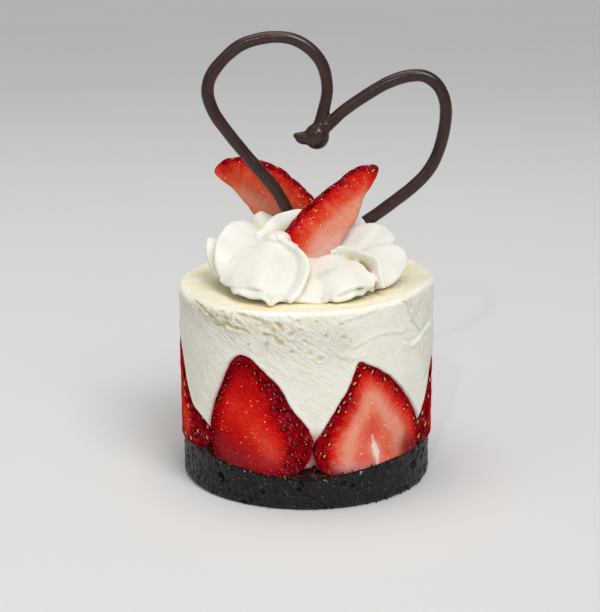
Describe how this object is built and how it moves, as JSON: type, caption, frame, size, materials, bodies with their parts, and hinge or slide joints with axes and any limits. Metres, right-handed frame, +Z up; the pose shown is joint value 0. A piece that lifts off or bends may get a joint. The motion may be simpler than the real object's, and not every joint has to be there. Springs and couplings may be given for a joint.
{
  "type": "mousse cake",
  "caption": "Small round mousse cake on a dark biscuit base, with strawberry halves round the side, a cream rosette, strawberry wedges and a chocolate heart on top.",
  "frame": {"origin": "centre of the round underside of the biscuit base", "axes": "+Z up, -Y towards the front of the cake, +X to the right seen from the front"},
  "size_m": [0.0806, 0.076, 0.1317],
  "materials": {
    "biscuit": "dark crumbly biscuit with a slight grease sheen",
    "mousse": "soft off-white mousse, satin",
    "strawberry": "moist cut fruit with a dark glossy skin",
    "cream": "smooth whipped cream, satin",
    "chocolate": "dark tempered chocolate, satin gloss"
  },
  "bodies": {
    "root": {"biscuit_base": "biscuit", "mousse": "mousse", "strawberry_half_1": "strawberry", "strawberry_half_2": "strawberry", "strawberry_half_3": "strawberry", "strawberry_half_4": "strawberry", "strawberry_half_5": "strawberry", "strawberry_half_6": "strawberry", "strawberry_half_7": "strawberry", "cream_rosette": "cream", "strawberry_wedge_front": "strawberry", "strawberry_wedge_back": "strawberry", "chocolate_heart": "chocolate"}
  },
  "joints": []
}
